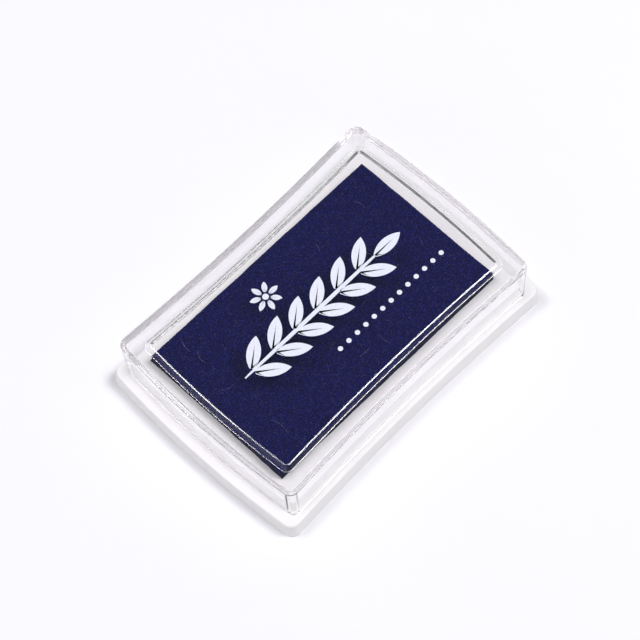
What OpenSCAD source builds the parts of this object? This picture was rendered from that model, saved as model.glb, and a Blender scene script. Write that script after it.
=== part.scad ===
// Craft ink pad. A white moulded base tray carries a foam ink pad with a felt top, glued on by
// an adhesive sheet. A clear lid with a raised panel lifts straight off, and its panel carries a
// printed leaf motif. Every moulded outline has long sides that dip in and short sides that bulge.
// Millimetres, +Z up, +X along the long side, origin under the middle of the base.

/* [Outline] */
// Inward dip at the middle of each long side of the base
long_side_dip = 1.3; // [0.8:0.1:1.8]
// Outward bulge at the middle of each short side of the base
short_side_bulge = 1.3; // [0.8:0.1:1.8]
// Corner radius of the base
base_corner = 2.2; // [1.8:0.1:3]
// Corner radius of the lid
lid_corner = 2.0; // [1.8:0.1:2.4]

/* [Base tray] */
// Length between the middles of the short sides
base_length = 78; // [76:0.5:82]
// Width between the middles of the long sides
base_width = 51.2; // [50.4:0.2:54]
// Height of the flange that the lid rests on
flange_height = 4.2; // [3.8:0.1:4.6]
// Height of the platform that the pad is glued to
platform_height = 8.5; // [7.6:0.1:8.8]
// Wall thickness of the tray
tray_wall = 1.5; // [1.2:0.1:1.8]
// Height of the stiffening ribs under the platform
rib_height = 1.2; // [0.8:0.1:1.6]

/* [Pad] */
// Length of the pad
pad_length = 62.2; // [58:0.2:63]
// Width of the pad
pad_width = 37.8; // [34:0.2:38.4]
// Turn of the hand-placed pad, in degrees, anticlockwise from above
pad_turn = -0.5; // [-1:0.1:1]
// Thickness of the foam core
foam_thickness = 2.2; // [1.6:0.1:2.4]
// Thickness of the felt top
felt_thickness = 0.6; // [0.4:0.1:0.8]

/* [Lid] */
// Length between the middles of the lid's short sides, at the top
lid_length = 73.2; // [72.8:0.1:73.6]
// Width between the middles of the lid's long sides, at the top
lid_width = 48.4; // [48.2:0.1:48.8]
// Height of the flat margin around the raised panel, above the table
lid_height = 15.9; // [15.8:0.1:18]
// Wall thickness of the lid
lid_wall = 1.1; // [0.9:0.1:1.2]
// Rise of the panel above the margin
panel_rise = 0.8; // [0.6:0.1:1.2]
// Width of the margin around the panel, at the short sides
margin_short = 3.65; // [3.4:0.1:4.5]
// Width of the margin around the panel, at the long sides
margin_long = 4.0; // [3.8:0.1:4.8]

/* [Print] */
// Size of the printed motif, 1 is full size
print_size = 1; // [0.7:0.05:1.05]

/* [Hidden] */

side_steps = 5;         // segments in each half side of an outline
corner_steps = 5;       // segments in each corner
flange_draft = 0.35;    // how far the flange narrows from the table to its top
edge_round = 0.5;       // rounding of the tray's and the lid's outer edges
lid_taper = 0.35;       // how far the lid narrows from its top to its rim
rest_gap = 0.03;        // air under the lid's rim, so that the closed parts only just meet
lid_clearance = 0.35;   // air between the lid's wall and the platform's side
panel_slope = 1.0;      // width of the sloped step up to the panel
slope_shift = 0.4;      // how far in the step sits on the lid's underside
panel_corner = 1.6;
platform_corner = 1.2;
adhesive_thickness = 0.15;
print_thickness = 0.1;
rib_thickness = 1.2;
pad_shift = [-0.4, 0.5]; // the hand-placed pad sits a little off the middle

// Circle radii whose rise over half a side gives the dip and the bulge
long_radius = (pow(base_length / 2, 2) + pow(long_side_dip, 2)) / (2 * long_side_dip);
short_radius = (pow(base_width / 2, 2) + pow(short_side_bulge, 2)) / (2 * short_side_bulge);

rim_z = flange_height + rest_gap;
rim_half = [lid_length / 2 - lid_taper, lid_width / 2 - lid_taper];
top_half = [lid_length / 2, lid_width / 2];
panel_half = [top_half.x - margin_short, top_half.y - margin_long];
panel_z = lid_height + panel_rise;
base_half = [base_length / 2, base_width / 2];
platform_half = [for (h = rim_half) h - lid_wall - lid_clearance];
foam_z = platform_height + adhesive_thickness;
felt_z = foam_z + foam_thickness;

// --- outline: one quarter, then the whole ring ---

// Middle of the corner circle, where it touches both the bulged and the dipped side
function corner_centre(half, radius) =
    let (
        short_middle = [half.x - short_radius, 0],
        long_middle = [0, half.y + long_radius],
        apart = norm(long_middle - short_middle),
        along = (long_middle - short_middle) / apart,
        reach = short_radius - radius,
        step = (reach * reach - pow(long_radius + radius, 2) + apart * apart) / (2 * apart)
    )
    short_middle + step * along + sqrt(reach * reach - step * step) * [along.y, -along.x];

function arc(middle, radius, from, to, steps, first = 0) =
    [for (i = [first:steps]) let (a = from + (to - from) * i / steps)
        middle + radius * [cos(a), sin(a)]];

// The quarter from the middle of the +X side to the middle of the +Y side
function quarter(half, radius) =
    let (
        c = corner_centre(half, radius),
        short_end = atan2(c.y, c.x - (half.x - short_radius)),
        long_end = atan2(half.y + long_radius - c.y, -c.x)
    )
    concat(
        arc([half.x - short_radius, 0], short_radius, 0, short_end, side_steps),
        arc(c, radius, short_end, long_end, corner_steps, 1),
        arc([0, half.y + long_radius], long_radius, long_end + 180, 270, side_steps, 1)
    );

function mirrored(points, x, y) = [for (p = points) [p.x * x, p.y * y]];
function reversed(points) = [for (i = [len(points) - 1:-1:0]) points[i]];
function without_first(points) = [for (i = [1:len(points) - 1]) points[i]];
function without_ends(points) = [for (i = [1:len(points) - 2]) points[i]];

function outline(half, radius) =
    let (q = quarter(half, radius))
    concat(
        q,
        without_first(mirrored(reversed(q), -1, 1)),
        without_first(mirrored(q, -1, -1)),
        without_ends(mirrored(reversed(q), 1, -1))
    );

// One level of a moulded shell: half sizes, corner radius and height
function level(half, radius, z) = [for (p = outline(half, radius)) [p.x, p.y, z]];
function inset(half, by) = [half.x - by, half.y - by];

// Skins the levels from the bottom to the top, with flat ends
module shell(levels) {
    count = len(levels[0]);
    last = (len(levels) - 1) * count;
    points = [for (l = levels) each l];
    sides = [for (k = [0:len(levels) - 2]) for (i = [0:count - 1])
        let (a = k * count + i, b = k * count + (i + 1) % count)
        each [[a, a + count, b], [b, a + count, b + count]]];
    bottom = [for (i = [0:count - 1]) i];
    top = [for (i = [0:count - 1]) last + count - 1 - i];
    polyhedron(points = points, faces = concat([bottom, top], sides));
}

// Levels that round an outer edge over, ending flat at height z
function rounded_edge(half, radius, z, round) =
    [for (a = [0, 45, 90]) level(inset(half, round * (1 - cos(a))), radius - round * (1 - cos(a)),
        z - round + round * sin(a))];

// --- base tray ---

module tray_outside() {
    flange_half = inset(base_half, flange_draft);
    shell(concat(
        [level(base_half, base_corner, 0)],
        rounded_edge(flange_half, base_corner, flange_height, edge_round)
    ));
    shell(concat(
        [level(platform_half, platform_corner, flange_height / 2)],
        rounded_edge(platform_half, platform_corner, platform_height, edge_round)
    ));
}

module tray_inside() {
    below = 1;
    shell([
        level(inset(base_half, tray_wall), base_corner - tray_wall / 2, -below),
        level(inset(base_half, tray_wall), base_corner - tray_wall / 2, flange_height - tray_wall)
    ]);
    shell([
        level(inset(platform_half, tray_wall), platform_corner / 2, -below),
        level(inset(platform_half, tray_wall), platform_corner / 2, platform_height - tray_wall)
    ]);
}

// One rib along the tray and two across it, hanging from the underside of the platform
module tray_ribs() {
    inside = inset(platform_half, tray_wall / 2);
    rib_bottom = platform_height - tray_wall - rib_height;
    rib_depth = rib_height + tray_wall / 2;
    translate([-inside.x, -rib_thickness / 2, rib_bottom]) cube([2 * inside.x, rib_thickness, rib_depth]);
    for (side = [-1, 1])
        translate([side * inside.x / 3 - rib_thickness / 2, -inside.y, rib_bottom])
            cube([rib_thickness, 2 * inside.y, rib_depth]);
}

module base_tray() {
    color([0.95, 0.95, 0.95]) {
        difference() {
            tray_outside();
            tray_inside();
        }
        tray_ribs();
    }
}

// --- pad: three glued layers ---

module pad_layer(z, thickness, trim = 0) {
    translate([pad_shift.x, pad_shift.y, z + thickness / 2])
        rotate([0, 0, pad_turn])
            cube([pad_length - 2 * trim, pad_width - 2 * trim, thickness], center = true);
}

module adhesive_sheet() {
    sheet_trim = 1;
    color([0.9, 0.88, 0.8]) pad_layer(platform_height, adhesive_thickness, sheet_trim);
}

module foam_core() {
    color([0.1, 0.1, 0.25]) pad_layer(foam_z, foam_thickness);
}

module felt_top() {
    color([0.12, 0.12, 0.28]) pad_layer(felt_z, felt_thickness);
}

// --- lid ---

module lid_outside() {
    shell(concat(
        [level(rim_half, lid_corner, rim_z)],
        rounded_edge(top_half, lid_corner, lid_height, edge_round),
        [
            level(panel_half, panel_corner, lid_height),
            level(inset(panel_half, panel_slope), panel_corner / 2, panel_z)
        ]
    ));
}

module lid_inside() {
    below = 1;
    inner_corner = lid_corner - lid_wall;
    shell([
        level(inset(rim_half, lid_wall), inner_corner, rim_z - below),
        level(inset(rim_half, lid_wall), inner_corner, rim_z),
        level(inset(top_half, lid_wall), inner_corner, lid_height - lid_wall),
        level(inset(panel_half, slope_shift), panel_corner / 2, lid_height - lid_wall),
        level(inset(panel_half, slope_shift + panel_slope), panel_corner / 2, panel_z - lid_wall)
    ]);
}

module lid() {
    color([0.9, 0.93, 0.95, 0.35]) difference() {
        lid_outside();
        lid_inside();
    }
}

// --- printed motif: a leaf sprig, a daisy and a row of dots ---

// A leaf is where two equal circles cross, with its stalk end at the origin, pointing along +X
module leaf(length, width) {
    radius = (pow(length / 2, 2) + pow(width / 2, 2)) / width;
    translate([length / 2, 0]) intersection() {
        translate([0, radius - width / 2]) circle(r = radius, $fn = 96);
        translate([0, width / 2 - radius]) circle(r = radius, $fn = 96);
    }
}

module sprig() {
    stem_length = 46;
    stem_width = 0.7;
    leaf_pairs = 6;
    leaf_length = 8;
    leaf_width = 3;
    leaf_angle = 38;
    pitch = 6.2;
    translate([-stem_length / 2, -stem_width / 2]) square([stem_length - leaf_length, stem_width]);
    for (i = [0:leaf_pairs - 1])
        for (side = [-1, 1])
            translate([-stem_length / 2 + 2 + i * pitch, 0])
                rotate(side * leaf_angle) leaf(leaf_length, leaf_width);
    translate([stem_length / 2 - leaf_length - stem_width, 0]) leaf(leaf_length, leaf_width);
}

module daisy() {
    petals = 7;
    petal_length = 2.6;
    petal_start = 0.9;
    for (i = [0:petals - 1])
        rotate(i * 360 / petals) translate([petal_start, 0]) leaf(petal_length, 1.2);
    circle(r = 0.7, $fn = 24);
}

module dot_row() {
    dots = 13;
    pitch = 2.5;
    for (i = [0:dots - 1]) translate([i * pitch, 0]) circle(r = 0.55, $fn = 24);
}

module lid_print() {
    color([0.95, 0.95, 1.0])
        translate([0, 0, panel_z]) linear_extrude(print_thickness) scale(print_size) {
            sprig();
            translate([-7, 10]) daisy();
            translate([-5, -9.6]) dot_row();
        }
}

base_tray();
adhesive_sheet();
foam_core();
felt_top();
lid();
lid_print();
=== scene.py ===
"""Craft ink pad: a white moulded tray, a glued foam pad with a felt top, and a clear printed lid."""

import math
import random

import bpy
from mathutils import Matrix, Vector, noise


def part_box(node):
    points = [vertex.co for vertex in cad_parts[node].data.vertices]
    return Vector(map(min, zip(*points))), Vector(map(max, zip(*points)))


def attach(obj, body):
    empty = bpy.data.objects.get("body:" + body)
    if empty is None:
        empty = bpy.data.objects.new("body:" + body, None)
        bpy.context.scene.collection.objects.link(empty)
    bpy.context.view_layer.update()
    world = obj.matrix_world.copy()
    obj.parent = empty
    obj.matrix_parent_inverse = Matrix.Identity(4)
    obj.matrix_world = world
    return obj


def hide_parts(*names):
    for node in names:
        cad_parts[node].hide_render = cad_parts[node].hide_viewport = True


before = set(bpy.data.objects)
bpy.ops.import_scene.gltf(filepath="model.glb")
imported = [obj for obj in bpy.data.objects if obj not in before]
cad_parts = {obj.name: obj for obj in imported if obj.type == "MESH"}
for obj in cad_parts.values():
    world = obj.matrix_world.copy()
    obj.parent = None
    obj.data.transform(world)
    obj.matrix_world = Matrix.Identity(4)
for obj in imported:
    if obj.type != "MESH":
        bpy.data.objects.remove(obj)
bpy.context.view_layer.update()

MM = 0.001
SEED = 11

# --- sizes, from the frame ---

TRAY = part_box("base_tray")
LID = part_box("lid")
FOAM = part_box("foam_core")
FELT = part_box("felt_top")
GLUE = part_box("adhesive_sheet")
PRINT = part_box("lid_print")

LONG_SIDE_DIP = 1.3 * MM  # at the middle of the tray's long sides
SHORT_SIDE_BULGE = 1.3 * MM
TRAY_MIDDLE = 25.6 * MM  # half the tray's width at the middle of its long sides
TRAY_CORNER = 2.2 * MM
TRAY_WALL = 1.5 * MM
FLANGE_DRAFT = 0.35 * MM
LID_CORNER = 2.0 * MM
LID_WALL = 1.1 * MM
LID_TAPER = 0.35 * MM
LID_CLEARANCE = 0.35 * MM
LID_SEAT_GAP = 0.03 * MM
PLATFORM_CORNER = 1.2 * MM
PANEL_CORNER = 1.6 * MM
PANEL_RISE = 0.8 * MM
PANEL_SLOPE = 1.0 * MM
SLOPE_SHIFT = 0.4 * MM  # from the panel's outer foot to its inner one
MARGIN_SHORT = 3.65 * MM
MARGIN_LONG = 4.0 * MM
PAD_TURN = math.radians(-0.5)
PAD_LENGTH = 62.2 * MM
PAD_WIDTH = 37.8 * MM
PAD_HALF = (PAD_LENGTH / 2, PAD_WIDTH / 2)
RIB_THICKNESS = 1.2 * MM
RIB_HEIGHT = 1.2 * MM

LID_RIM_Z = LID[0][2]
PANEL_Z = LID[1][2]
LID_TOP_Z = PANEL_Z - PANEL_RISE
FLANGE_Z = LID_RIM_Z - LID_SEAT_GAP
PLATFORM_Z = TRAY[1][2]

# --- the waisted outline that every moulding shares ---

SIDE_STEPS = 72
CORNER_STEPS = 10


def circle_through(half_chord, rise):
    return (half_chord**2 + rise**2) / (2 * rise)


LONG_RADIUS = circle_through(TRAY[1][0], LONG_SIDE_DIP)
SHORT_RADIUS = circle_through(TRAY_MIDDLE, SHORT_SIDE_BULGE)


def arc(centre, radius, start, end, steps, first=0):
    """Points on a circle from one angle to another, leaving out those before first."""
    turns = [start + (end - start) * i / steps for i in range(first, steps + 1)]
    return [(centre[0] + radius * math.cos(a), centre[1] + radius * math.sin(a)) for a in turns]


def outline(half, corner):
    """A ring of points: short sides bulge to half[0], long sides dip to half[1], corners are rounded."""
    short_middle = Vector((half[0] - SHORT_RADIUS, 0))
    long_middle = Vector((0, half[1] + LONG_RADIUS))
    apart = (long_middle - short_middle).length
    along = (long_middle - short_middle) / apart
    reach = SHORT_RADIUS - corner
    step = (reach**2 - (LONG_RADIUS + corner) ** 2 + apart**2) / (2 * apart)
    centre = short_middle + along * step + Vector((along.y, -along.x)) * math.sqrt(reach**2 - step**2)
    short_end = math.atan2(centre.y, centre.x - short_middle.x)
    long_end = math.atan2(long_middle.y - centre.y, -centre.x)
    quarter = arc(short_middle, SHORT_RADIUS, 0, short_end, SIDE_STEPS)
    quarter += arc(centre, corner, short_end, long_end, CORNER_STEPS, 1)
    quarter += arc(long_middle, LONG_RADIUS, long_end + math.pi, 1.5 * math.pi, SIDE_STEPS, 1)
    back = quarter[::-1]
    ring = quarter + [(-x, y) for x, y in back[1:]]
    ring += [(-x, -y) for x, y in quarter[1:]]
    ring += [(x, -y) for x, y in back[1:-1]]
    return ring


def middle_half_width(corner_half_width, half_length, corner):
    """The half width at the middle of a long side, from the half width of the box at its corners."""
    guess = corner_half_width - LONG_SIDE_DIP
    for _ in range(4):
        guess += corner_half_width - max(y for _, y in outline((half_length, guess), corner))
    return guess


TRAY_HALF = (TRAY[1][0], middle_half_width(TRAY[1][1], TRAY[1][0], TRAY_CORNER))
LID_HALF = (LID[1][0], middle_half_width(LID[1][1], LID[1][0], LID_CORNER))


def inset(half, by):
    return (half[0] - by, half[1] - by)


RIM_HALF = inset(LID_HALF, LID_TAPER)
PLATFORM_HALF = inset(RIM_HALF, LID_WALL + LID_CLEARANCE)
PANEL_HALF = (LID_HALF[0] - MARGIN_SHORT, LID_HALF[1] - MARGIN_LONG)

# --- meshes ---


def add_mesh(name, points, faces, smooth=True):
    mesh = bpy.data.meshes.new(name)
    mesh.from_pydata([tuple(p) for p in points], [], faces)
    mesh.validate()
    mesh.update()
    mesh.polygons.foreach_set("use_smooth", [smooth] * len(mesh.polygons))
    piece = bpy.data.objects.new(name, mesh)
    bpy.context.scene.collection.objects.link(piece)
    return piece


def level(half, corner, z):
    """One turn of a profile: half length, half width, corner radius and height."""
    return Vector((half[0], half[1], corner, z))


SUPPORT = 0.05 * MM  # an edge loop this close to each rounding keeps the flats flat
ROUND_STEPS = 8


def soften(profile):
    """Rounds each turn of a profile, given as (level, radius), into a row of levels."""
    rows = [profile[0][0]]
    for (before, _), (turn, radius), (after, _) in zip(profile, profile[1:], profile[2:]):
        if not radius:
            rows.append(turn)
            continue
        back, ahead = before - turn, after - turn
        back_run = math.hypot(back[0], back[3])
        ahead_run = math.hypot(ahead[0], ahead[3])
        cos_turn = (back[0] * ahead[0] + back[3] * ahead[3]) / (back_run * ahead_run)
        cut = radius / math.tan(math.acos(max(-1, min(1, cos_turn))) / 2)
        start = turn + back * (cut / back_run)
        end = turn + ahead * (cut / ahead_run)
        rows.append(turn + back * ((cut + SUPPORT) / back_run))
        for i in range(ROUND_STEPS + 1):
            t = i / ROUND_STEPS
            rows.append(start * (1 - t) ** 2 + turn * (2 * t * (1 - t)) + end * t**2)
        rows.append(turn + ahead * ((cut + SUPPORT) / ahead_run))
    rows.append(profile[-1][0])
    return rows


def loft(name, profile):
    """Skins a profile that starts under an inside cap and ends at an outside cap, as one closed shell."""
    rings = [[(x, y, row[3]) for x, y in outline((row[0], row[1]), row[2])] for row in soften(profile)]
    count = len(rings[0])
    points = [p for ring in rings for p in ring]
    faces = []
    for k in range(len(rings) - 1):
        for i in range(count):
            j = (i + 1) % count
            faces.append((k * count + i, k * count + j, (k + 1) * count + j, (k + 1) * count + i))
    top = (len(rings) - 1) * count
    faces.append(tuple(range(count - 1, -1, -1)))
    faces.append(tuple(range(top, top + count)))
    return add_mesh(name, points, faces)


LID_ROUND = {
    "inner panel": 0.2 * MM,
    "inner top": 0.15 * MM,
    "rim": 0.12 * MM,
    "top": 0.06 * MM,
    "panel foot": 0.5 * MM,
    "panel edge": 0.55 * MM,
}
LID_CAP_RING = 0.5 * MM  # the flat caps start this far inside the panel's edge


def build_lid():
    """The lid's profile, from the underside of the panel, round the rim, to the panel's top."""
    inner_corner = LID_CORNER - LID_WALL
    inner_foot = inset(PANEL_HALF, SLOPE_SHIFT)
    inner_edge = inset(inner_foot, PANEL_SLOPE)
    inner_cap = inset(inner_edge, LID_CAP_RING)
    inner_top = inset(LID_HALF, LID_WALL)
    inner_rim = inset(RIM_HALF, LID_WALL)
    panel_edge = inset(PANEL_HALF, PANEL_SLOPE)
    panel_cap = inset(panel_edge, LID_CAP_RING)
    edge_corner = PANEL_CORNER / 2
    inner_foot_corner = PANEL_CORNER * 0.7
    return loft("lid_shell", [
        (level(inner_cap, edge_corner, PANEL_Z - LID_WALL), 0),
        (level(inner_edge, edge_corner, PANEL_Z - LID_WALL), LID_ROUND["inner panel"]),
        (level(inner_foot, inner_foot_corner, LID_TOP_Z - LID_WALL), LID_ROUND["inner panel"]),
        (level(inner_top, inner_corner, LID_TOP_Z - LID_WALL), LID_ROUND["inner top"]),
        (level(inner_rim, inner_corner, LID_RIM_Z), LID_ROUND["rim"]),
        (level(RIM_HALF, LID_CORNER, LID_RIM_Z), LID_ROUND["rim"]),
        (level(LID_HALF, LID_CORNER, LID_TOP_Z), LID_ROUND["top"]),
        (level(PANEL_HALF, PANEL_CORNER, LID_TOP_Z), LID_ROUND["panel foot"]),
        (level(panel_edge, edge_corner, PANEL_Z), LID_ROUND["panel edge"]),
        (level(panel_cap, edge_corner, PANEL_Z), 0),
    ])


TRAY_ROUND = {
    "inside": 0.3 * MM,
    "inner foot": 0.15 * MM,
    "foot": 0.2 * MM,
    "flange": 0.45 * MM,
    "platform foot": 0.2 * MM,
    "platform edge": 0.4 * MM,
}
TRAY_CAP_RING = 1 * MM  # the flat caps start this far inside the platform's edge


def build_tray():
    """The tray's profile, from under the platform, round the foot, to the platform's top."""
    hollow = inset(TRAY_HALF, TRAY_WALL)
    hollow_corner = TRAY_CORNER - TRAY_WALL / 2
    pocket = inset(PLATFORM_HALF, TRAY_WALL)
    pocket_corner = PLATFORM_CORNER / 2
    flange = inset(TRAY_HALF, FLANGE_DRAFT)
    platform_under = PLATFORM_Z - TRAY_WALL
    flange_under = FLANGE_Z - TRAY_WALL
    return loft("tray_shell", [
        (level(inset(pocket, TRAY_CAP_RING), pocket_corner, platform_under), 0),
        (level(pocket, pocket_corner, platform_under), TRAY_ROUND["inside"]),
        (level(pocket, pocket_corner, flange_under), TRAY_ROUND["inside"]),
        (level(hollow, hollow_corner, flange_under), TRAY_ROUND["inside"]),
        (level(hollow, hollow_corner, 0), TRAY_ROUND["inner foot"]),
        (level(TRAY_HALF, TRAY_CORNER, 0), TRAY_ROUND["foot"]),
        (level(flange, TRAY_CORNER, FLANGE_Z), TRAY_ROUND["flange"]),
        (level(PLATFORM_HALF, PLATFORM_CORNER, FLANGE_Z), TRAY_ROUND["platform foot"]),
        (level(PLATFORM_HALF, PLATFORM_CORNER, PLATFORM_Z), TRAY_ROUND["platform edge"]),
        (level(inset(PLATFORM_HALF, TRAY_CAP_RING), pocket_corner, PLATFORM_Z), 0),
    ])


def bar(low, high, chamfer):
    """A box with its long lower edges chamfered, as points and faces."""
    x0, y0, z0 = low
    x1, y1, z1 = high
    along_x = x1 - x0 > y1 - y0
    cx, cy = (0, chamfer) if along_x else (chamfer, 0)
    points = [(x0 + cx, y0 + cy, z0), (x1 - cx, y0 + cy, z0), (x1 - cx, y1 - cy, z0), (x0 + cx, y1 - cy, z0)]
    points += [(x0, y0, z0 + chamfer), (x1, y0, z0 + chamfer), (x1, y1, z0 + chamfer), (x0, y1, z0 + chamfer)]
    points += [(x0, y0, z1), (x1, y0, z1), (x1, y1, z1), (x0, y1, z1)]
    faces = [(3, 2, 1, 0), (8, 9, 10, 11)]
    for k in (0, 4):
        faces += [(k + i, k + (i + 1) % 4, k + 4 + (i + 1) % 4, k + 4 + i) for i in range(4)]
    return points, faces


def build_ribs():
    """Stiffening ribs under the platform: one along the tray and two across it.

    The two are a hair shallower, so that no two faces lie in one plane where the ribs cross."""
    root = 0.2 * MM  # how far a rib runs into the wall that it grows from
    chamfer = 0.15 * MM
    shy = 0.04 * MM
    reach = inset(PLATFORM_HALF, TRAY_WALL - root)
    half_rib = RIB_THICKNESS / 2
    top = PLATFORM_Z - TRAY_WALL + root
    bottom = PLATFORM_Z - TRAY_WALL - RIB_HEIGHT
    spans = [((-reach[0], -half_rib, bottom), (reach[0], half_rib, top))]
    for side in (-1, 1):
        middle = side * PLATFORM_HALF[0] / 3
        spans.append(((middle - half_rib, -reach[1], bottom + shy), (middle + half_rib, reach[1], top - shy)))
    points, faces = [], []
    for low, high in spans:
        more_points, more_faces = bar(low, high, chamfer)
        faces += [tuple(i + len(points) for i in face) for face in more_faces]
        points += more_points
    return add_mesh("tray_ribs", points, faces, smooth=False)


# --- the pad ---

PAD_CENTRE = ((FELT[0][0] + FELT[1][0]) / 2, (FELT[0][1] + FELT[1][1]) / 2)
PAD_CELL = 0.35 * MM  # the grid on the pad's top
CUT_ROUGHNESS = 0.5 * MM  # the size of the fine wander of a cut side
CUT_SWAY = 4 * MM  # the size of its slow wander
CUT_ROUNDING = 0.12 * MM  # how far the top's edge is pressed down
SWAY_PATCH = 9.0  # a slice of the noise that nothing else uses
FELT_CUT = 0.10 * MM
FELT_LAYERS = 2
FOAM_CUT = 0.09 * MM
FOAM_LAYERS = 6
FOAM_INSET = 0.05 * MM
FOAM_LEAN = (0.15 * MM, 0.45 * MM)
NO_LEAN = (0, 0)
GLUE_INSET = 1 * MM


def turned(x, y):
    """A point on the pad, from its own axes to the frame's: the pad was put down slightly crooked."""
    c, s = math.cos(PAD_TURN), math.sin(PAD_TURN)
    return PAD_CENTRE[0] + c * x - s * y, PAD_CENTRE[1] + s * x + c * y


def grain(x, y, size, offset=0.0):
    return noise.noise(Vector((x / size, y / size, offset)))


def slab(name, half, box, roughen, cut, layers, lean=NO_LEAN):
    """A die-cut slab: a fine grid on top raised by roughen(x, y), with sides that wander by cut.

    Its height is the box's. The sides lean, so that the foot reaches out by lean beyond the top."""
    low, high = box[0][2], box[1][2]
    columns = round(2 * half[0] / PAD_CELL)
    rows = round(2 * half[1] / PAD_CELL)
    points, index = [], {}

    def add(i, j, k):
        x = half[0] * (2 * i / columns - 1)
        y = half[1] * (2 * j / rows - 1)
        z = low + (high - low) * k / layers
        wander = cut * grain(x + z, y - z, CUT_ROUGHNESS, k) + cut * grain(x, y, CUT_SWAY, SWAY_PATCH)
        side_x = (i == columns) - (i == 0)
        side_y = (j == rows) - (j == 0)
        lift = roughen(x, y) if k == layers else 0
        if k == layers and (side_x or side_y):
            lift -= CUT_ROUNDING
        foot = 1 - k / layers
        world = turned(x + side_x * (wander + lean[0] * foot), y + side_y * (wander + lean[1] * foot))
        index[i, j, k] = len(points)
        points.append((*world, z + lift))

    edge = [(i, 0) for i in range(columns)] + [(columns, j) for j in range(rows)]
    edge += [(i, rows) for i in range(columns, 0, -1)] + [(0, j) for j in range(rows, 0, -1)]
    for k in range(layers):
        for i, j in edge:
            add(i, j, k)
    for j in range(rows + 1):
        for i in range(columns + 1):
            add(i, j, layers)
    faces = [tuple(index[i, j, 0] for i, j in reversed(edge))]
    for k in range(layers):
        for a, b in zip(edge, edge[1:] + edge[:1]):
            faces.append((index[(*a, k)], index[(*b, k)], index[(*b, k + 1)], index[(*a, k + 1)]))
    for j in range(rows):
        for i in range(columns):
            corners = ((i, j), (i + 1, j), (i + 1, j + 1), (i, j + 1))
            faces.append(tuple(index[(*c, layers)] for c in corners))
    return add_mesh(name, points, faces)


MATTING_SIZE = 0.45 * MM
MATTING_HEIGHT = 0.030 * MM
SWELL_SIZE = 5 * MM
SWELL_HEIGHT = 0.035 * MM
SWELL_PATCH = 3.0


def felt_relief(x, y):
    """Fine matted fibres, with a very slight swell of the soaked foam under them."""
    fine = MATTING_HEIGHT * grain(x, y, MATTING_SIZE)
    broad = SWELL_HEIGHT * grain(x, y, SWELL_SIZE, SWELL_PATCH)
    return fine + broad


def no_relief(x, y):
    return 0.0


def build_felt():
    return slab("pad_felt", PAD_HALF, FELT, felt_relief, FELT_CUT, FELT_LAYERS)


def build_foam():
    half = inset(PAD_HALF, FOAM_INSET)
    return slab("pad_foam", half, FOAM, no_relief, FOAM_CUT, FOAM_LAYERS, FOAM_LEAN)


HAIR_TIP = 0.35  # a hair's thickness at its ends, as a part of that at its middle


def hair(points, faces, path, radius):
    """Adds a three-sided tapering hair along path."""
    base = len(points)
    for k, p in enumerate(path):
        heading = (path[min(k + 1, len(path) - 1)] - path[max(k - 1, 0)]).normalized()
        side = heading.cross(Vector((0, 0, 1))).normalized()
        thick = radius * (HAIR_TIP + (1 - HAIR_TIP) * math.sin(math.pi * (k + 0.5) / len(path)))
        for turn in range(3):
            a = turn * 2 * math.pi / 3 + math.pi / 2
            points.append(p + side * thick * math.cos(a) + Vector((0, 0, thick * math.sin(a))))
    for k in range(len(path) - 1):
        for turn in range(3):
            a, b = base + 3 * k + turn, base + 3 * k + (turn + 1) % 3
            faces.append((a, b, b + 3, a + 3))
    faces.append((base + 2, base + 1, base))
    last = base + 3 * (len(path) - 1)
    faces.append((last, last + 1, last + 2))


def hair_path(rng, length, height, curl, steps=5):
    """A hair lying on the felt: it starts and ends in the pile, and bows up between."""
    reach = inset(PAD_HALF, length)
    x, y = rng.uniform(-reach[0], reach[0]), rng.uniform(-reach[1], reach[1])
    heading = rng.uniform(0, 2 * math.pi)
    bend = rng.uniform(-curl, curl)
    path = []
    for k in range(steps):
        wx, wy = turned(x, y)
        lift = height * math.sin(math.pi * k / (steps - 1))
        path.append(Vector((wx, wy, FELT[1][2] + felt_relief(x, y) + lift)))
        x += length / (steps - 1) * math.cos(heading)
        y += length / (steps - 1) * math.sin(heading)
        heading += bend / (steps - 1)
    return path


def build_hairs(name, count, lengths, height, radius, curl):
    """Hairs scattered over the felt, each curling by up to curl radians along its length."""
    rng = random.Random(SEED + count)
    points, faces = [], []
    for _ in range(count):
        hair(points, faces, hair_path(rng, rng.uniform(*lengths), height, curl), radius)
    return add_mesh(name, points, faces)


def build_pile():
    """Short fibres that stand up a little from the felt."""
    lengths = (0.5 * MM, 1.4 * MM)
    return build_hairs("felt_pile", 2600, lengths, height=0.05 * MM, radius=0.018 * MM, curl=2.0)


def build_lint():
    """A few long stray hairs, paler than the felt."""
    lengths = (2.0 * MM, 5.0 * MM)
    return build_hairs("felt_lint", 14, lengths, height=0.12 * MM, radius=0.022 * MM, curl=1.6)


def build_glue():
    half = inset(PAD_HALF, GLUE_INSET)
    ring = [(half[0], -half[1]), (half[0], half[1]), (-half[0], half[1]), (-half[0], -half[1])]
    corners = [turned(x, y) for x, y in ring]
    low = [(*c, GLUE[0][2]) for c in corners]
    high = [(*c, GLUE[1][2]) for c in corners]
    sides = [(i, (i + 1) % 4, 4 + (i + 1) % 4, 4 + i) for i in range(4)]
    return add_mesh("pad_glue_sheet", low + high, [(3, 2, 1, 0), (4, 5, 6, 7)] + sides, smooth=False)


# --- the printed motif ---

INK_THICKNESS = 0.03 * MM
INK_SINK = 0.005 * MM  # the ink starts just inside the panel
INK_STAGGER = 0.002 * MM
INK_STAGGER_TURNS = 3
ARC_STEPS = 14
DISC_STEPS = 28
STEM_STEPS = 12
STEM_TIP = 0.35  # the stem's width at its ends, as a part of that at its middle
VEIN_START = 0.07  # this and the next are parts of the leaf's length
VEIN_END = 0.74

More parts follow.
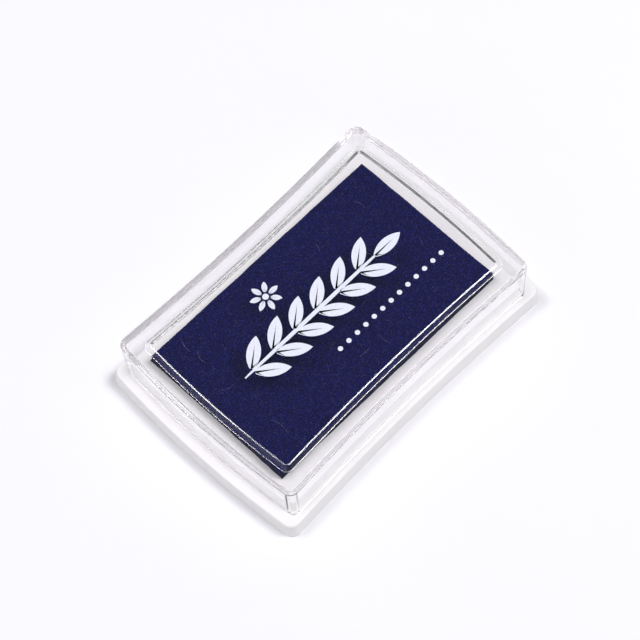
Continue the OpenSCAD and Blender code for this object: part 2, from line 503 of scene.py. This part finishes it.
LEAF_PAIRS = 6
LEAF_PITCH = 6.2 * MM
LEAF_LENGTH = 8 * MM
LEAF_WIDTH = 3 * MM
LEAF_VEIN = 0.45 * MM
LEAF_TURN = math.radians(38)
LEAF_OFFSET = 0.25 * MM  # from the stem's middle line
FIRST_LEAF = 2 * MM  # from the stem's end
END_LEAF_BACK = 1.5 * MM
STEM_PART = 0.82  # of the motif's length
STEM_WIDTH = 0.9 * MM

DAISY_X = -7 * MM
DAISY_Y = 10 * MM
PETALS = 7
PETAL_LENGTH = 2.6 * MM
PETAL_WIDTH = 1.2 * MM
PETAL_VEIN = 0.12 * MM
PETAL_START = 0.9 * MM  # from the daisy's middle
DAISY_HEART = 0.7 * MM

DOTS = 13
DOT_RADIUS = 0.55 * MM
DOT_PITCH = 2.5 * MM
FIRST_DOT_X = -5 * MM
DOT_Y = -9.6 * MM


def leaf_shape(length, width, vein):
    """A pointed leaf along +X, split from its stalk end by a vein."""
    radius = circle_through(length / 2, width / 2)
    spread = math.asin(length / 2 / radius)
    upper = []
    for i in range(ARC_STEPS + 1):
        a = -spread + 2 * spread * i / ARC_STEPS
        upper.append((length / 2 + radius * math.sin(a), radius * math.cos(a) - radius + width / 2))
    lower = [(x, -y) for x, y in reversed(upper[1:-1])]
    start = VEIN_START * length
    tip = (VEIN_END * length, 0)
    notch = [(start, -vein / 2), tip, (start, vein / 2)]
    return (notch[::-1] + upper[1:] + lower)[::-1]


def disc(radius):
    return arc((0, 0), radius, 0, 2 * math.pi, DISC_STEPS)[:-1]


def stem_shape(start, end, width):
    """A straight stem that tapers to its ends."""
    top = []
    for i in range(STEM_STEPS + 1):
        t = i / STEM_STEPS
        swell = STEM_TIP + (1 - STEM_TIP) * math.sin(math.pi * t) ** 0.5
        top.append((start + (end - start) * t, width / 2 * swell))
    return [(x, -y) for x, y in top] + top[::-1]


def placed(shape, x, y, turn=0.0):
    c, s = math.cos(turn), math.sin(turn)
    return [(x + c * px - s * py, y + s * px + c * py) for px, py in shape]


def sprig_shapes():
    """A stem along the panel with pairs of leaves and one leaf at its end."""
    start = PRINT[0][0]
    length = PRINT[1][0] - start
    leaf = leaf_shape(LEAF_LENGTH, LEAF_WIDTH, LEAF_VEIN)
    shapes = [stem_shape(start, start + length * STEM_PART, STEM_WIDTH)]
    for i in range(LEAF_PAIRS):
        for side in (-1, 1):
            x = start + FIRST_LEAF + i * LEAF_PITCH
            shapes.append(placed(leaf, x, side * LEAF_OFFSET, side * LEAF_TURN))
    shapes.append(placed(leaf, start + FIRST_LEAF + LEAF_PAIRS * LEAF_PITCH - END_LEAF_BACK, 0))
    return shapes


def daisy_shapes():
    petal = leaf_shape(PETAL_LENGTH, PETAL_WIDTH, PETAL_VEIN)
    shapes = []
    for i in range(PETALS):
        turn = i * 2 * math.pi / PETALS
        x = DAISY_X + PETAL_START * math.cos(turn)
        y = DAISY_Y + PETAL_START * math.sin(turn)
        shapes.append(placed(petal, x, y, turn))
    shapes.append(placed(disc(DAISY_HEART), DAISY_X, DAISY_Y))
    return shapes


def dot_shapes():
    return [placed(disc(DOT_RADIUS), FIRST_DOT_X + i * DOT_PITCH, DOT_Y) for i in range(DOTS)]


def motif_shapes():
    """A leaf sprig with a daisy above it and a row of dots below."""
    return sprig_shapes() + daisy_shapes() + dot_shapes()


def build_print():
    points, faces = [], []
    low, high = PANEL_Z - INK_SINK, PANEL_Z + INK_THICKNESS
    for k, shape in enumerate(motif_shapes()):
        # Overlapping shapes differ by a hair in height, so that no two faces share a plane
        top = high + INK_STAGGER * (k % INK_STAGGER_TURNS)
        count = len(shape)
        base = len(points)
        points += [(x, y, low) for x, y in shape] + [(x, y, top) for x, y in shape]
        faces.append(tuple(base + i for i in range(count - 1, -1, -1)))
        faces.append(tuple(base + count + i for i in range(count)))
        for i in range(count):
            j = (i + 1) % count
            faces.append((base + i, base + j, base + count + j, base + count + i))
    return add_mesh("lid_motif", points, faces, smooth=False)


# --- materials ---


class Shader:
    """A short way to write a node material."""

    def __init__(self, name):
        self.material = bpy.data.materials.new(name)
        self.material.use_nodes = True
        self.tree = self.material.node_tree
        self.tree.nodes.clear()
        self.output = self.add("ShaderNodeOutputMaterial")
        self.coordinates = self.add("ShaderNodeTexCoord")
        self.place = self.coordinates.outputs["Object"]

    def add(self, kind, **values):
        made = self.tree.nodes.new(kind)
        for key, value in values.items():
            setattr(made, key, value)
        return made

    def link(self, source, target):
        self.tree.links.new(source, target)

    def noise(self, size, detail=2.0, roughness=0.5, stretch=(1, 1, 1)):
        """Noise with blobs of about the given size in metres."""
        mapping = self.add("ShaderNodeMapping")
        mapping.inputs["Scale"].default_value = stretch
        self.link(self.place, mapping.inputs["Vector"])
        made = self.add("ShaderNodeTexNoise")
        made.inputs["Scale"].default_value = 1 / size
        made.inputs["Detail"].default_value = detail
        made.inputs["Roughness"].default_value = roughness
        self.link(mapping.outputs["Vector"], made.inputs["Vector"])
        return made.outputs["Fac"]

    def ramp(self, source, stops):
        """A colour or value ramp, stops as (position, colour)."""
        made = self.add("ShaderNodeValToRGB")
        elements = made.color_ramp.elements
        while len(elements) < len(stops):
            elements.new(0.5)
        for element, (position, colour) in zip(elements, stops):
            element.position = position
            element.color = (*colour, 1)
        self.link(source, made.inputs["Fac"])
        return made.outputs["Color"]

    def grey_ramp(self, source, stops):
        return self.ramp(source, [(position, (value,) * 3) for position, value in stops])

    def multiply(self, first, second):
        made = self.add("ShaderNodeMath", operation="MULTIPLY")
        self.link(first, made.inputs[0])
        self.link(second, made.inputs[1])
        return made.outputs[0]

    def levelness(self):
        """How level the surface is: 1 on flat tops, 0 on upright walls, between on rounded edges."""
        parts = self.add("ShaderNodeSeparateXYZ")
        self.link(self.coordinates.outputs["Normal"], parts.inputs[0])
        made = self.add("ShaderNodeMath", operation="ABSOLUTE")
        self.link(parts.outputs["Z"], made.inputs[0])
        return made.outputs[0]

    def bump(self, source, height, strength=1.0, under=None):
        made = self.add("ShaderNodeBump")
        made.inputs["Strength"].default_value = strength
        made.inputs["Distance"].default_value = height
        self.link(source, made.inputs["Height"])
        if under is not None:
            self.link(under, made.inputs["Normal"])
        return made.outputs["Normal"]

    def principled(self, **sockets):
        made = self.add("ShaderNodeBsdfPrincipled")
        for key, value in sockets.items():
            socket = made.inputs[key.replace("_", " ")]
            if isinstance(value, bpy.types.NodeSocket):
                self.link(value, socket)
            else:
                socket.default_value = value
        return made

    def finish(self, surface):
        self.link(surface, self.output.inputs["Surface"])
        return self.material


def white_plastic():
    s = Shader("white_plastic")
    mottle = s.noise(9 * MM, 3)
    texture = s.noise(0.25 * MM, 3, 0.6)
    colour = s.ramp(mottle, [(0.3, (0.855, 0.84, 0.845)), (0.7, (0.885, 0.87, 0.875))])
    rough = s.grey_ramp(s.noise(3 * MM, 4, 0.6), [(0.3, 0.30), (0.7, 0.42)])
    normal = s.bump(texture, 0.004 * MM, 0.6, under=s.bump(mottle, 0.02 * MM, 0.4))
    shader = s.principled(Base_Color=colour, Roughness=rough, Normal=normal, IOR=1.5)
    return s.finish(shader.outputs[0])


def clear_plastic():
    """Clear polystyrene, glossy on its flats and a little satin where its edges are rounded.

    Light on its way to what is inside passes straight through, less what a wall reflects."""
    s = Shader("clear_polystyrene")
    satin = 0.14
    edges = s.grey_ramp(s.levelness(), [(0.03, 0.0), (0.10, satin), (0.985, satin), (0.9995, 0.0)])
    haze = s.multiply(edges, s.grey_ramp(s.noise(6 * MM, 3, 0.6), [(0.35, 0.7), (0.75, 1.0)]))
    ripple = s.bump(s.noise(22 * MM, 1), 0.004 * MM, 0.2)
    polish = s.grey_ramp(s.levelness(), [(0.03, 0.0), (0.10, 1.0), (0.985, 1.0), (0.9995, 0.0)])
    glass = s.principled(
        Base_Color=(0.995, 0.993, 0.998, 1),
        Roughness=haze,
        Normal=ripple,
        IOR=1.59,
        Transmission_Weight=1.0,
        Coat_Weight=polish,
        Coat_Roughness=0.18,
        Coat_IOR=1.25,
    )
    through = s.add("ShaderNodeBsdfTransparent")
    through.inputs["Color"].default_value = (0.985, 0.98, 0.995, 1)
    rays = s.add("ShaderNodeLightPath")
    surface = glass.outputs[0]
    for kind in ("Is Shadow Ray", "Is Diffuse Ray"):
        mix = s.add("ShaderNodeMixShader")
        s.link(rays.outputs[kind], mix.inputs["Fac"])
        s.link(surface, mix.inputs[1])
        s.link(through.outputs[0], mix.inputs[2])
        surface = mix.outputs[0]
    tint = s.add("ShaderNodeVolumeAbsorption")
    tint.inputs["Color"].default_value = (0.90, 0.87, 0.90, 1)
    tint.inputs["Density"].default_value = 25
    s.link(tint.outputs[0], s.output.inputs["Volume"])
    return s.finish(surface)


def navy_felt():
    s = Shader("navy_felt")
    fibres = s.noise(0.30 * MM, 4, 0.7)
    strands = s.noise(0.22 * MM, 2, 0.6, stretch=(0.35, 1, 1))
    colour = s.ramp(fibres, [
        (0.34, (0.0003, 0.0004, 0.011)),
        (0.50, (0.0022, 0.0028, 0.046)),
        (0.66, (0.0160, 0.0210, 0.185)),
    ])
    normal = s.bump(strands, 0.06 * MM, 0.8, under=s.bump(fibres, 0.08 * MM, 0.8))
    shader = s.principled(
        Base_Color=colour,
        Roughness=0.95,
        Normal=normal,
        Specular_IOR_Level=0.05,
        Sheen_Weight=0.04,
        Sheen_Roughness=0.5,
    )
    shader.inputs["Sheen Tint"].default_value = (0.35, 0.37, 0.75, 1)
    return s.finish(shader.outputs[0])


def inked_foam():
    s = Shader("inked_foam")
    cells = s.add("ShaderNodeTexVoronoi")
    cells.inputs["Scale"].default_value = 1 / (0.35 * MM)
    s.link(s.place, cells.inputs["Vector"])
    colour = s.ramp(cells.outputs["Distance"], [(0.1, (0.002, 0.002, 0.012)), (0.6, (0.008, 0.008, 0.042))])
    normal = s.bump(cells.outputs["Distance"], 0.10 * MM, 0.9)
    rough = s.grey_ramp(s.noise(2 * MM, 2), [(0.3, 0.6), (0.7, 0.9)])
    shader = s.principled(Base_Color=colour, Roughness=rough, Normal=normal, Specular_IOR_Level=0.1)
    return s.finish(shader.outputs[0])


def loose_fibre(name, dark, light):
    s = Shader(name)
    colour = s.ramp(s.noise(1.5 * MM, 2), [(0.35, dark), (0.65, light)])
    return s.finish(s.principled(Base_Color=colour, Roughness=0.8).outputs[0])


def white_ink():
    s = Shader("white_ink")
    spread = s.noise(0.35 * MM, 3, 0.6)
    colour = s.ramp(spread, [(0.35, (0.72, 0.74, 0.88)), (0.65, (0.82, 0.84, 0.95))])
    normal = s.bump(spread, 0.01 * MM, 0.5)
    return s.finish(s.principled(Base_Color=colour, Roughness=0.45, Normal=normal).outputs[0])


def glue_film():
    s = Shader("glue_film")
    colour = s.ramp(s.noise(3 * MM, 3), [(0.35, (0.62, 0.58, 0.48)), (0.65, (0.70, 0.66, 0.55))])
    return s.finish(s.principled(Base_Color=colour, Roughness=0.5).outputs[0])


def pale_floor():
    s = Shader("pale_floor")
    colour = s.ramp(s.noise(60 * MM, 3), [(0.3, (0.895, 0.89, 0.925)), (0.7, (0.905, 0.90, 0.935))])
    return s.finish(s.principled(Base_Color=colour, Roughness=0.9).outputs[0])


# --- put together ---


def add_piece(piece, body, slot, material, *nodes):
    piece.data.materials.append(material)
    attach(piece, body)
    if nodes:
        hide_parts(*nodes)
    return piece


def build_object():
    plastic = white_plastic()
    add_piece(build_tray(), "base", "base_tray", plastic, "base_tray")
    add_piece(build_ribs(), "base", "base_tray", plastic)
    add_piece(build_glue(), "base", "adhesive_sheet", glue_film(), "adhesive_sheet")
    foam = add_piece(build_foam(), "base", "foam_core", inked_foam(), "foam_core")
    felt = add_piece(build_felt(), "base", "felt_top", navy_felt(), "felt_top")
    pile_fibre = loose_fibre("pile_fibre", (0.02, 0.02, 0.08), (0.06, 0.065, 0.19))
    add_piece(build_pile(), "base", "felt_top", pile_fibre)
    lint_fibre = loose_fibre("lint_fibre", (0.16, 0.17, 0.32), (0.34, 0.36, 0.52))
    add_piece(build_lint(), "base", "felt_top", lint_fibre)
    lid = add_piece(build_lid(), "lid", "lid", clear_plastic(), "lid")
    add_piece(build_print(), "lid", "lid_print", white_ink(), "lid_print")
    return lid


# --- studio ---

CAMERA_AZIMUTH = math.radians(-39.54)
CAMERA_HEIGHT = math.radians(63.89)
CAMERA_ROLL = math.radians(-6.9)
CAMERA_DISTANCE = 0.652
CAMERA_TARGET = Vector((2.03 * MM, 4.33 * MM, 0))
CAMERA_LENS = 173.5
CAMERA_SENSOR = 36
CAMERA_NEAREST = 0.01

SOFTBOX_HEIGHT = 60
SOFTBOX_DISTANCE = 2.2
SOFTBOX_SIZE = 1.0

STRIP_SIZE = (2.7, 0.6)
STRIP_PLACE = (0.03, 0.17, 2.0)
STRIP_TURN = math.radians(-45.5)
STRIP_POWER = 30

TENT_WALL = 0.62  # the brightness of the tent's pale part
TENT_DIM = 0.10
TENT_DIM_MIDDLE = (math.radians(95), math.radians(55))
TENT_WALL_ENDS = 0.05  # this and the next are cosines of the angle to the middle of the dim part
TENT_DIM_STARTS = 0.20
TENT_BLUE = 1.02

CARD_HALF = (0.20, 0.15)  # half its width and half its height
CARD_MIDDLE = (math.radians(-112), math.radians(27))
CARD_DISTANCE = 0.6

FLOOR_REACH = 3.0


def towards(azimuth, height):
    """The direction from the object to something seen at this azimuth and height."""
    flat = math.cos(height)
    return Vector((math.sin(azimuth) * flat, -math.cos(azimuth) * flat, math.sin(height)))


def add_camera():
    camera = bpy.data.objects.new("camera", bpy.data.cameras.new("camera"))
    bpy.context.scene.collection.objects.link(camera)
    camera.data.lens = CAMERA_LENS
    camera.data.sensor_width = CAMERA_SENSOR
    camera.data.clip_start = CAMERA_NEAREST
    back = towards(CAMERA_AZIMUTH, CAMERA_HEIGHT)
    right = (-back).cross(Vector((0, 0, 1))).normalized()
    up = right.cross(-back)
    c, s = math.cos(CAMERA_ROLL), math.sin(CAMERA_ROLL)
    right, up = c * right + s * up, c * up - s * right
    place = Matrix((right, up, back)).transposed().to_4x4()
    place.translation = CAMERA_TARGET + back * CAMERA_DISTANCE
    camera.matrix_world = place
    bpy.context.scene.camera = camera


def add_lamp(name, size, power):
    lamp = bpy.data.lights.new(name, "AREA")
    lamp.shape = "RECTANGLE"
    lamp.size, lamp.size_y = size
    lamp.energy = power
    made = bpy.data.objects.new(name, lamp)
    bpy.context.scene.collection.objects.link(made)
    return made


def add_softbox(name, azimuth, power):
    """A square softbox that looks at the object from the given azimuth in degrees."""
    box = add_lamp(name, (SOFTBOX_SIZE, SOFTBOX_SIZE), power)
    away = towards(math.radians(azimuth), math.radians(SOFTBOX_HEIGHT))
    box.location = away * SOFTBOX_DISTANCE
    box.rotation_euler = away.to_track_quat("Z", "Y").to_euler()


def add_rim_light(lid):
    """A long strip overhead that only draws bright lines along the lid's rounded edges."""
    strip = add_lamp("rim_strip", STRIP_SIZE, STRIP_POWER)
    strip.location = STRIP_PLACE
    strip.rotation_euler = (0, 0, STRIP_TURN)
    strip.visible_transmission = False
    strip.visible_diffuse = False
    receivers = bpy.data.collections.new("rim_strip_receivers")
    receivers.objects.link(lid)
    strip.light_linking.receiver_collection = receivers


def flat_corners(half_x, half_y):
    return [(x * half_x, y * half_y, 0) for x, y in ((-1, -1), (1, -1), (1, 1), (-1, 1))]


def add_floor():
    corners = flat_corners(FLOOR_REACH, FLOOR_REACH)
    floor = add_mesh("floor", corners, [(0, 1, 2, 3)], smooth=False)
    floor.data.materials.append(pale_floor())


def black_card_paper():
    s = Shader("black_card_paper")
    return s.finish(s.principled(Base_Color=(0.01, 0.01, 0.01, 1), Roughness=0.9).outputs[0])


def add_black_card():
    """A card beside the tray that only the lid reflects, so that its near step reads dark."""
    card = add_mesh("black_card", flat_corners(*CARD_HALF), [(0, 1, 2, 3)])
    away = towards(*CARD_MIDDLE)
    card.location = away * CARD_DISTANCE
    card.rotation_euler = away.to_track_quat("Z", "Y").to_euler()
    card.visible_camera = False
    card.visible_diffuse = False
    card.visible_transmission = False
    card.visible_shadow = False
    card.data.materials.append(black_card_paper())


def tent_colour(level_of_light):
    return (level_of_light, level_of_light, level_of_light * TENT_BLUE, 1)


def add_world():
    """A light tent, pale low down and on the camera's side. Its roof and its far right side are dim."""
    world = bpy.data.worlds.new("studio")
    world.use_nodes = True
    tree = world.node_tree
    background = tree.nodes["Background"]
    heading = tree.nodes.new("ShaderNodeTexCoord")
    closeness = tree.nodes.new("ShaderNodeVectorMath")
    closeness.operation = "DOT_PRODUCT"
    closeness.inputs[1].default_value = towards(*TENT_DIM_MIDDLE)
    ramp = tree.nodes.new("ShaderNodeValToRGB")
    wall, dim = ramp.color_ramp.elements
    wall.position, dim.position = TENT_WALL_ENDS, TENT_DIM_STARTS
    wall.color, dim.color = tent_colour(TENT_WALL), tent_colour(TENT_DIM)
    tree.links.new(heading.outputs["Generated"], closeness.inputs[0])
    tree.links.new(closeness.outputs["Value"], ramp.inputs["Fac"])
    tree.links.new(ramp.outputs["Color"], background.inputs["Color"])
    bpy.context.scene.world = world


def build_studio(lid):
    add_floor()
    add_world()
    add_softbox("softbox_left", -150, 19.6)
    add_softbox("softbox_right", 45, 34)
    add_black_card()
    add_rim_light(lid)
    bpy.context.scene.view_settings.view_transform = "Standard"


build_studio(build_object())
add_camera()
